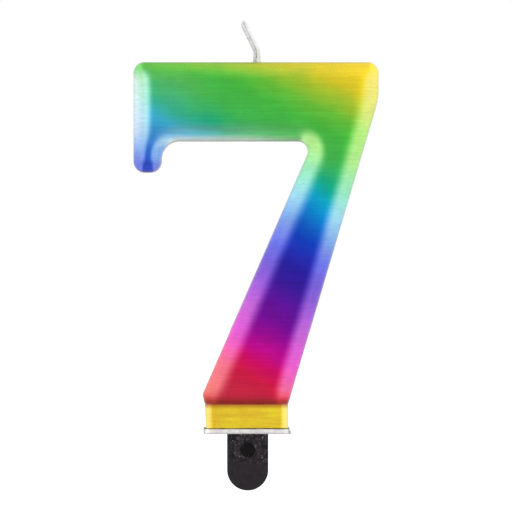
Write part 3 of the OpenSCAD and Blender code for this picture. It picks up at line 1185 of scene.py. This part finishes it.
pan = Skin(upright=False)
wall_corners = rounded_box(tray_x - foil_mid, tray_y - foil_mid, pan_r)
slot_corners = [(x + slot_x, y, r) for x, y, r in rounded_box(slot_half_x, slot_half_y, 0.15)]
slot_loop = pan.ring(rounded_outline(slot_corners, 0.0, 0.4, 4), foil_mid)
bends = np.radians([90, 60, 30, 0])
walls = []
for a in bends:
    inset = floor_r * (1 - math.cos(a))
    level = foil_mid + floor_r * (1 - math.sin(a))
    walls.append(pan.ring(rounded_outline(wall_corners, inset, 0.28, 14), level))
for z in np.linspace(foil_mid + floor_r, tray_h + rim_up, 7)[1:]:
    walls.append(pan.ring(rounded_outline(wall_corners, 0.0, 0.28, 14), z))
pan.join(walls)
floor_loops = [walls[0], slot_loop]
pan.fill(floor_loops, pan.ring(pan.cells(floor_loops, 0.5, 0.25), foil_mid))
pan.points = crumple(pan.points)
tray = pan.piece("drip_tray_foil", silver_foil)
solid = tray.modifiers.new("foil", "SOLIDIFY")
solid.thickness = foil_t * MM
solid.offset = 0
bpy.context.view_layer.update()
evaluated = tray.evaluated_get(bpy.context.evaluated_depsgraph_get())
tray_mesh = bpy.data.meshes.new_from_object(evaluated)
tray.modifiers.clear()
tray.data = tray_mesh
print("tray:", len(tray.data.polygons), "faces")

# %% [markdown]
# ## The pick
#
# The pick is moulded plastic: a flat blade with a round end, edges eased by the mould, a blind dimple
# in the front where the mould's ejector pressed, and a narrower tang with a hole that the wax locks
# into. The front and the back are filled outlines, and each hole is a short stack of rings.

# %% Plastic pick
pick_mid = (pick_low[0] + pick_high[0]) / 2
blade_half = (pick_high[0] - pick_low[0]) / 2
pick_half = pick_high[1]
tang_step = 1.0
tang_r = 1.0
lock_d = 2.2
dimple_d = 3.1
dimple_deep = 1.1
dimple_down = 3.55
eased = 0.3
shoulder_r = 0.35
nook_r = 0.1
tang_top = pick_high[2]
tang_half = blade_half - tang_step

pick_corners = [
    (pick_mid - blade_half, pick_low[2], blade_half - 0.02),
    (pick_mid + blade_half, pick_low[2], blade_half - 0.02),
    (pick_mid + blade_half, foot_z, shoulder_r),
    (pick_mid + tang_half, foot_z, nook_r),
    (pick_mid + tang_half, tang_top, tang_r),
    (pick_mid - tang_half, tang_top, tang_r),
    (pick_mid - tang_half, foot_z, nook_r),
    (pick_mid - blade_half, foot_z, shoulder_r),
]


def circle(x, z, radius, count=48):
    """Points of a circle."""
    angles = np.arange(count) * 2 * math.pi / count
    return np.column_stack([x + radius * np.cos(angles), z + radius * np.sin(angles)])


blade = Skin(upright=True)
ease_turns = np.radians([0, 22.5, 45, 67.5, 90])
shell = []
for side in (-1, 1):
    shell.append([
        blade.ring(
            rounded_outline(pick_corners, eased * (1 - math.sin(a)), 0.5, 16),
            side * (pick_half - eased * (1 - math.cos(a))),
        )
        for a in ease_turns
    ])
for rings_of_side in shell:
    blade.join(rings_of_side)
blade.strip(shell[0][-1], shell[1][-1])
lock_z = (foot_z + tang_top) / 2
lock = [blade.ring(circle(pick_mid, lock_z, lock_d / 2), y) for y in (-pick_half, 0, pick_half)]
blade.join(lock)
dimple_profile = [
    (0.3, 0.0), (0.16, 0.03), (0.04, 0.12), (0.0, 0.3), (-0.03, 0.8), (-0.2, 1.0), (-0.7, dimple_deep)
]
dimple = [
    blade.ring(circle(pick_mid, -dimple_down, dimple_d / 2 + wider), deep - pick_half)
    for wider, deep in dimple_profile
]
blade.join(dimple)
blade.fill([dimple[-1]], blade.ring(np.array([[pick_mid, -dimple_down]]), -pick_half + dimple_deep))
blade.fill([shell[0][0], dimple[0], lock[0]])
blade.fill([shell[1][0], lock[-1]])
pick = blade.piece("pick_plastic", black_plastic)
print("pick:", len(blade.faces), "faces")

# %% [markdown]
# ## The wick
#
# A wick is cotton: two strands laid round each other, with the fibres of each strand winding the other
# way. One path runs from the end that is deep in the wax, across the bar, out at the top and over to
# the tip. Geometry Nodes follow it: the path is doubled, each copy is moved off the centre line by an
# angle that grows along the path, and a round profile is swept along each. Where the wick leaves
# the wax the strands splay a little. The tree also stores where each point is round and along its
# strand, for the cotton's fibres, and which strand it is, because one of the two is greyer, as painted
# shade.

# %% Route of the wick
wick_x = 2.3
wick_dip = 6.8
wick_lean = 26
wick_kink = 2.6
hook_out = 0.55
wick_turn_up = 2.3
wick_foot_clear = 2.5


def smooth_route(points, radius, steps=8):
    """A route of straight stretches with an arc at each inner point."""
    points = [np.array(p, float) for p in points]
    route = [points[:1]]
    for before, here, after in zip(points, points[1:], points[2:]):
        route.append(corner_arc(before, here, after, radius, steps))
    route.append(points[-1:])
    return np.vstack(route)


wick_end_z = tang_top + wick_foot_clear
kink_z = top_z + wick_kink
tip_z = tail_high[2] - 0.45
tip_x = wick_x - (tip_z - kink_z) * math.tan(math.radians(wick_lean))
inner_route = [
    (stem_middle(wick_end_z), wick_end_z),
    (stem_middle(under_z + wick_turn_up), under_z + wick_turn_up),
    (wick_x, top_z - wick_dip),
    (wick_x, top_z),
]
tail_route = [(wick_x, top_z), (wick_x, kink_z), (tip_x + 0.1, tip_z - 0.3), (tip_x + hook_out, tip_z)]
inner_bend, tail_bend = 4.0, 0.45
route = np.vstack([
    smooth_route(inner_route, inner_bend),
    smooth_route(tail_route, tail_bend, 6)[1:],
])
line = bpy.data.meshes.new("wick_cotton")
links = [(i, i + 1) for i in range(len(route) - 1)]
line.from_pydata([(x * MM, 0, z * MM) for x, z in route], links, [])
wick = bpy.data.objects.new("wick_cotton", line)
bpy.context.scene.collection.objects.link(wick)
wick_length = np.linalg.norm(np.diff(route, axis=0), axis=1).sum()
tail_length = np.linalg.norm(np.diff(route[route[:, 1] >= top_z - 0.01], axis=0), axis=1).sum()
strand_pitch = 60.0
foot_splay = 2.2
strand_turn = -2 * math.pi * (wick_length - tail_length / 2) / strand_pitch + math.pi / 2
print("the wick is", round(wick_length, 1), "mm long")

# %% Tree that lays the strands
strand_inputs = {
    "Path": "NodeSocketGeometry",
    "Strands": 2,
    "Strand radius": 0.0004,
    "Lay radius": 0.00037,
    "Pitch": 0.016,
    "Start angle": 0.0,
    "Splay from": 0.1,
    "Splay to": 0.1022,
    "Splay": 0.5,
    "Ring spacing": 0.00015,
    "Fibre turns per mm": 0.5,
    "Finish": "NodeSocketMaterial",
}
strands, given, result = start_group(
    "strands", "GeometryNodeTree", strand_inputs, {"Wick": "NodeSocketGeometry"}
)
full_turn = 2 * math.pi
curve = result_of(strands, "GeometryNodeMeshToCurve", {"Mesh": given["Path"]})
spaced = {"Curve": curve, "Length": given["Ring spacing"]}
curve = result_of(strands, "GeometryNodeResampleCurve", spaced, mode="LENGTH")
copies = add_node(
    strands,
    "GeometryNodeDuplicateElements",
    {"Geometry": curve, "Amount": given["Strands"]},
    domain="SPLINE",
).outputs
along = add_node(strands, "GeometryNodeSplineParameter").outputs
which = calculate(strands, "DIVIDE", copies["Duplicate Index"], given["Strands"])
turns = calculate(strands, "ADD", calculate(strands, "DIVIDE", along["Length"], given["Pitch"]), which)
angle = calculate(strands, "MULTIPLY_ADD", turns, full_turn, given["Start angle"])
near_wax = between(strands, along["Length"], given["Splay from"], given["Splay to"], 1.0, 0.0)
wider = calculate(strands, "MULTIPLY_ADD", near_wax, given["Splay"], 1.0)
lay_radius = calculate(strands, "MULTIPLY", given["Lay radius"], wider)
across = result_of(strands, "GeometryNodeInputNormal")
ahead = result_of(strands, "GeometryNodeInputTangent")
sideways = combine(strands, "CROSS_PRODUCT", ahead, across)
first_part = scaled(strands, across, calculate(strands, "COSINE", angle))
second_part = scaled(strands, sideways, calculate(strands, "SINE", angle))
shift = scaled(strands, combine(strands, "ADD", first_part, second_part), lay_radius)
laid = shift_points(strands, copies["Geometry"], shift)
laid = store(strands, laid, "along", along["Length"])
laid = store(strands, laid, "strand", which)
profile = result_of(
    strands, "GeometryNodeCurvePrimitiveCircle", {"Resolution": 14, "Radius": given["Strand radius"]}
)
profile = store(strands, profile, "around", along["Factor"])
swept = {"Curve": laid, "Profile Curve": profile, "Scale": 1.0, "Fill Caps": True}
tube = result_of(strands, "GeometryNodeCurveToMesh", swept)
millimetres = calculate(strands, "DIVIDE", stored(strands, "along"), MM)
turns_per_mm = given["Fibre turns per mm"]
around = stored(strands, "around")
fibre_turns = calculate(strands, "MULTIPLY_ADD", millimetres, turns_per_mm, around)
fibre_angle = calculate(strands, "MULTIPLY", fibre_turns, full_turn)
down_strand = product(strands, millimetres, 0.8)
depth = calculate(strands, "MULTIPLY_ADD", stored(strands, "strand"), 40.0, down_strand)
fibre_x = calculate(strands, "COSINE", fibre_angle)
fibre_y = calculate(strands, "SINE", fibre_angle)
lay_place = result_of(
    strands, "ShaderNodeCombineXYZ", {"X": fibre_x, "Y": fibre_y, "Z": depth}
)
tube = store(strands, tube, "lay", lay_place, "FLOAT_VECTOR")
ridges = result_of(
    strands, "ShaderNodeTexNoise", {"Vector": lay_place, "Scale": 2.2, "Detail": 3.0}
)
ridge_height = between(strands, ridges, 0.3, 0.7, -0.02 * MM, 0.02 * MM)
surface = result_of(strands, "GeometryNodeInputNormal")
tube = shift_points(strands, tube, scaled(strands, surface, ridge_height))
smooth = result_of(strands, "GeometryNodeSetShadeSmooth", {"Geometry": tube})
hand_out(strands, smooth, given["Finish"], result["Wick"])

run_tree(
    wick,
    strands,
    strands=2,
    strand_radius=0.40 * MM,
    lay_radius=0.38 * MM,
    pitch=strand_pitch * MM,
    start_angle=strand_turn,
    splay_from=(wick_length - tail_length) * MM,
    splay_to=(wick_length - tail_length + foot_splay) * MM,
    splay=0.4,
    ring_spacing=0.16 * MM,
    fibre_turns_per_mm=0.5,
    finish=wick_cotton,
)
close_and_smooth(wick)

# %% [markdown]
# ## The wax at the foot of the wick
#
# Where the wick comes out, hot wax crept a little way up it and set as a low uneven ring. It is a
# stack of wavy rings that climb towards the wick. Its dark olive patches are painted shade.

# %% Wax collar
collar = Skin(upright=False)
collar_steps = 40
collar_profile = [(1.35, -0.2), (1.3, 0.02), (1.1, 0.1), (0.9, 0.16), (0.7, 0.2), (0.3, 0.2)]
collar_rings = []
for radius, up in collar_profile:
    loop = []
    for k in range(collar_steps):
        a = 2 * math.pi * k / collar_steps
        bumpy = noise.noise(Vector((2 * math.cos(a), 2 * math.sin(a), 3.1)))
        wave = 1 + 0.16 * bumpy + 0.08 * math.sin(3 * a)
        loop.append((wick_x + radius * wave * math.cos(a), 0.8 * radius * wave * math.sin(a)))
    collar_rings.append(collar.ring(np.array(loop), top_z + up))
collar.join(collar_rings)
collar.fill([collar_rings[0]])
collar.fill([collar_rings[-1]])
wax_collar = collar.piece("wick_wax_collar", plain_wax)
print("collar:", len(collar.faces), "faces")

# %% [markdown]
# ## What moves with what
#
# The figure, the block, the pick and the wax collar are one body, cast together. The foil tray slides
# down the pick by itself. The wick stands fast in the wax and bends where it comes out, so it follows
# the candle below the surface and the free end above it, and turns smoothly between the two.

# %% Bodies and replaced nodes
for piece, node, body, slot in (
    (numeral, "numeral_seven", "candle", "rainbow_wax"),
    (plinth, "plinth", "candle", "gold_wax"),
    (pick, "pick", "candle", "black_plastic"),
    (tray, "drip_tray", "drip_tray", "silver_foil"),
):
    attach(piece, body)
    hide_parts(node)
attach(wax_collar, "candle")
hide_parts("wick_in_wax", "wick_tail")
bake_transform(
    wick,
    "candle",
    "wick_tail",
    start=(wick_x * MM, 0, (top_z + 0.1) * MM),
    end=(wick_x * MM, 0, (top_z + 2.0) * MM),
)

# %% [markdown]
# ## The studio
#
# A shiny coat shows what stands round it, so the studio is built for its reflections: white in front,
# brighter soft boxes at both sides that draw the light bands down the soft edges, a little more light
# from straight above and straight below, darker behind, and a pale floor. All of it is one sky whose
# brightness depends on the direction, which gives soft light with no hard shadows. What the camera
# itself sees behind the candle is plain white. The floor, the figure, the block and the tray are left
# out of reflections, because they drew dark lines along the figure's own inner edges.

# %% Sky
world = bpy.data.worlds.new("studio")
world.use_nodes = True
bpy.context.scene.world = world
tree = world.node_tree
background = tree.nodes["Background"]
direction = add_node(tree, "ShaderNodeTexCoord").outputs["Generated"]
parts = split(tree, direction)
aside = calculate(tree, "ABSOLUTE", parts["X"])
boxes = between(tree, aside, 0.02, 0.45, 0.0, 0.65, smooth=False)
above = between(tree, parts["Z"], 0.3, 0.9, 0.0, 0.1)
below = between(tree, parts["Z"], -0.15, -0.6, 1.0, 0.88)
under = between(tree, parts["Z"], -0.5, -0.98, 0.0, 0.4)
behind = between(tree, parts["Y"], 0.2, 0.9, 1.0, 0.75)
light = calculate(tree, "ADD", calculate(tree, "ADD", 0.93, boxes), above)
light = calculate(tree, "MULTIPLY", calculate(tree, "MULTIPLY_ADD", light, below, under), behind)
seen = add_node(tree, "ShaderNodeLightPath").outputs["Is Camera Ray"]
light = add_node(tree, "ShaderNodeMix", {0: seen, 2: light, 3: 1.0}, data_type="FLOAT").outputs[0]
tree.links.new(light, background.inputs["Strength"])
background.inputs["Color"].default_value = (1, 1, 1, 1)
print("sky nodes:", len(tree.nodes))

# %% Floor
floor_finish, tree, shader, place = start_finish("studio_floor")
paper = grain(tree, place, 0.05, detail=3.0)
set_shader(
    tree,
    shader,
    Base_Color=mix(tree, between(tree, paper, 0.3, 0.7), linear(246, 246, 246), linear(250, 250, 250)),
    Roughness=0.9,
)
floor_gap = 10.0
floor_half = 4000.0
studio_floor = Skin(upright=False)
square = np.array([(-1, -1), (1, -1), (1, 1), (-1, 1)]) * floor_half
studio_floor.ring(square, pick_low[2] - floor_gap)
studio_floor.faces.append((0, 1, 2, 3))
floor = studio_floor.piece("studio_floor", floor_finish, closed=False)
for unseen in (floor, numeral, plinth, tray):
    unseen.visible_glossy = False
floor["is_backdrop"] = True
print("floor at", round(pick_low[2] - floor_gap, 2), "mm")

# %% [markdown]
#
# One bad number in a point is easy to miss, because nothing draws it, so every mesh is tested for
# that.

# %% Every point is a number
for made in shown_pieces():
    corners = np.empty(len(made.data.vertices) * 3, np.float32)
    made.data.vertices.foreach_get("co", corners)
    if not np.isfinite(corners).all():
        raise ValueError(made.name + " has points that are not numbers")
print("every point of every piece is a real number")
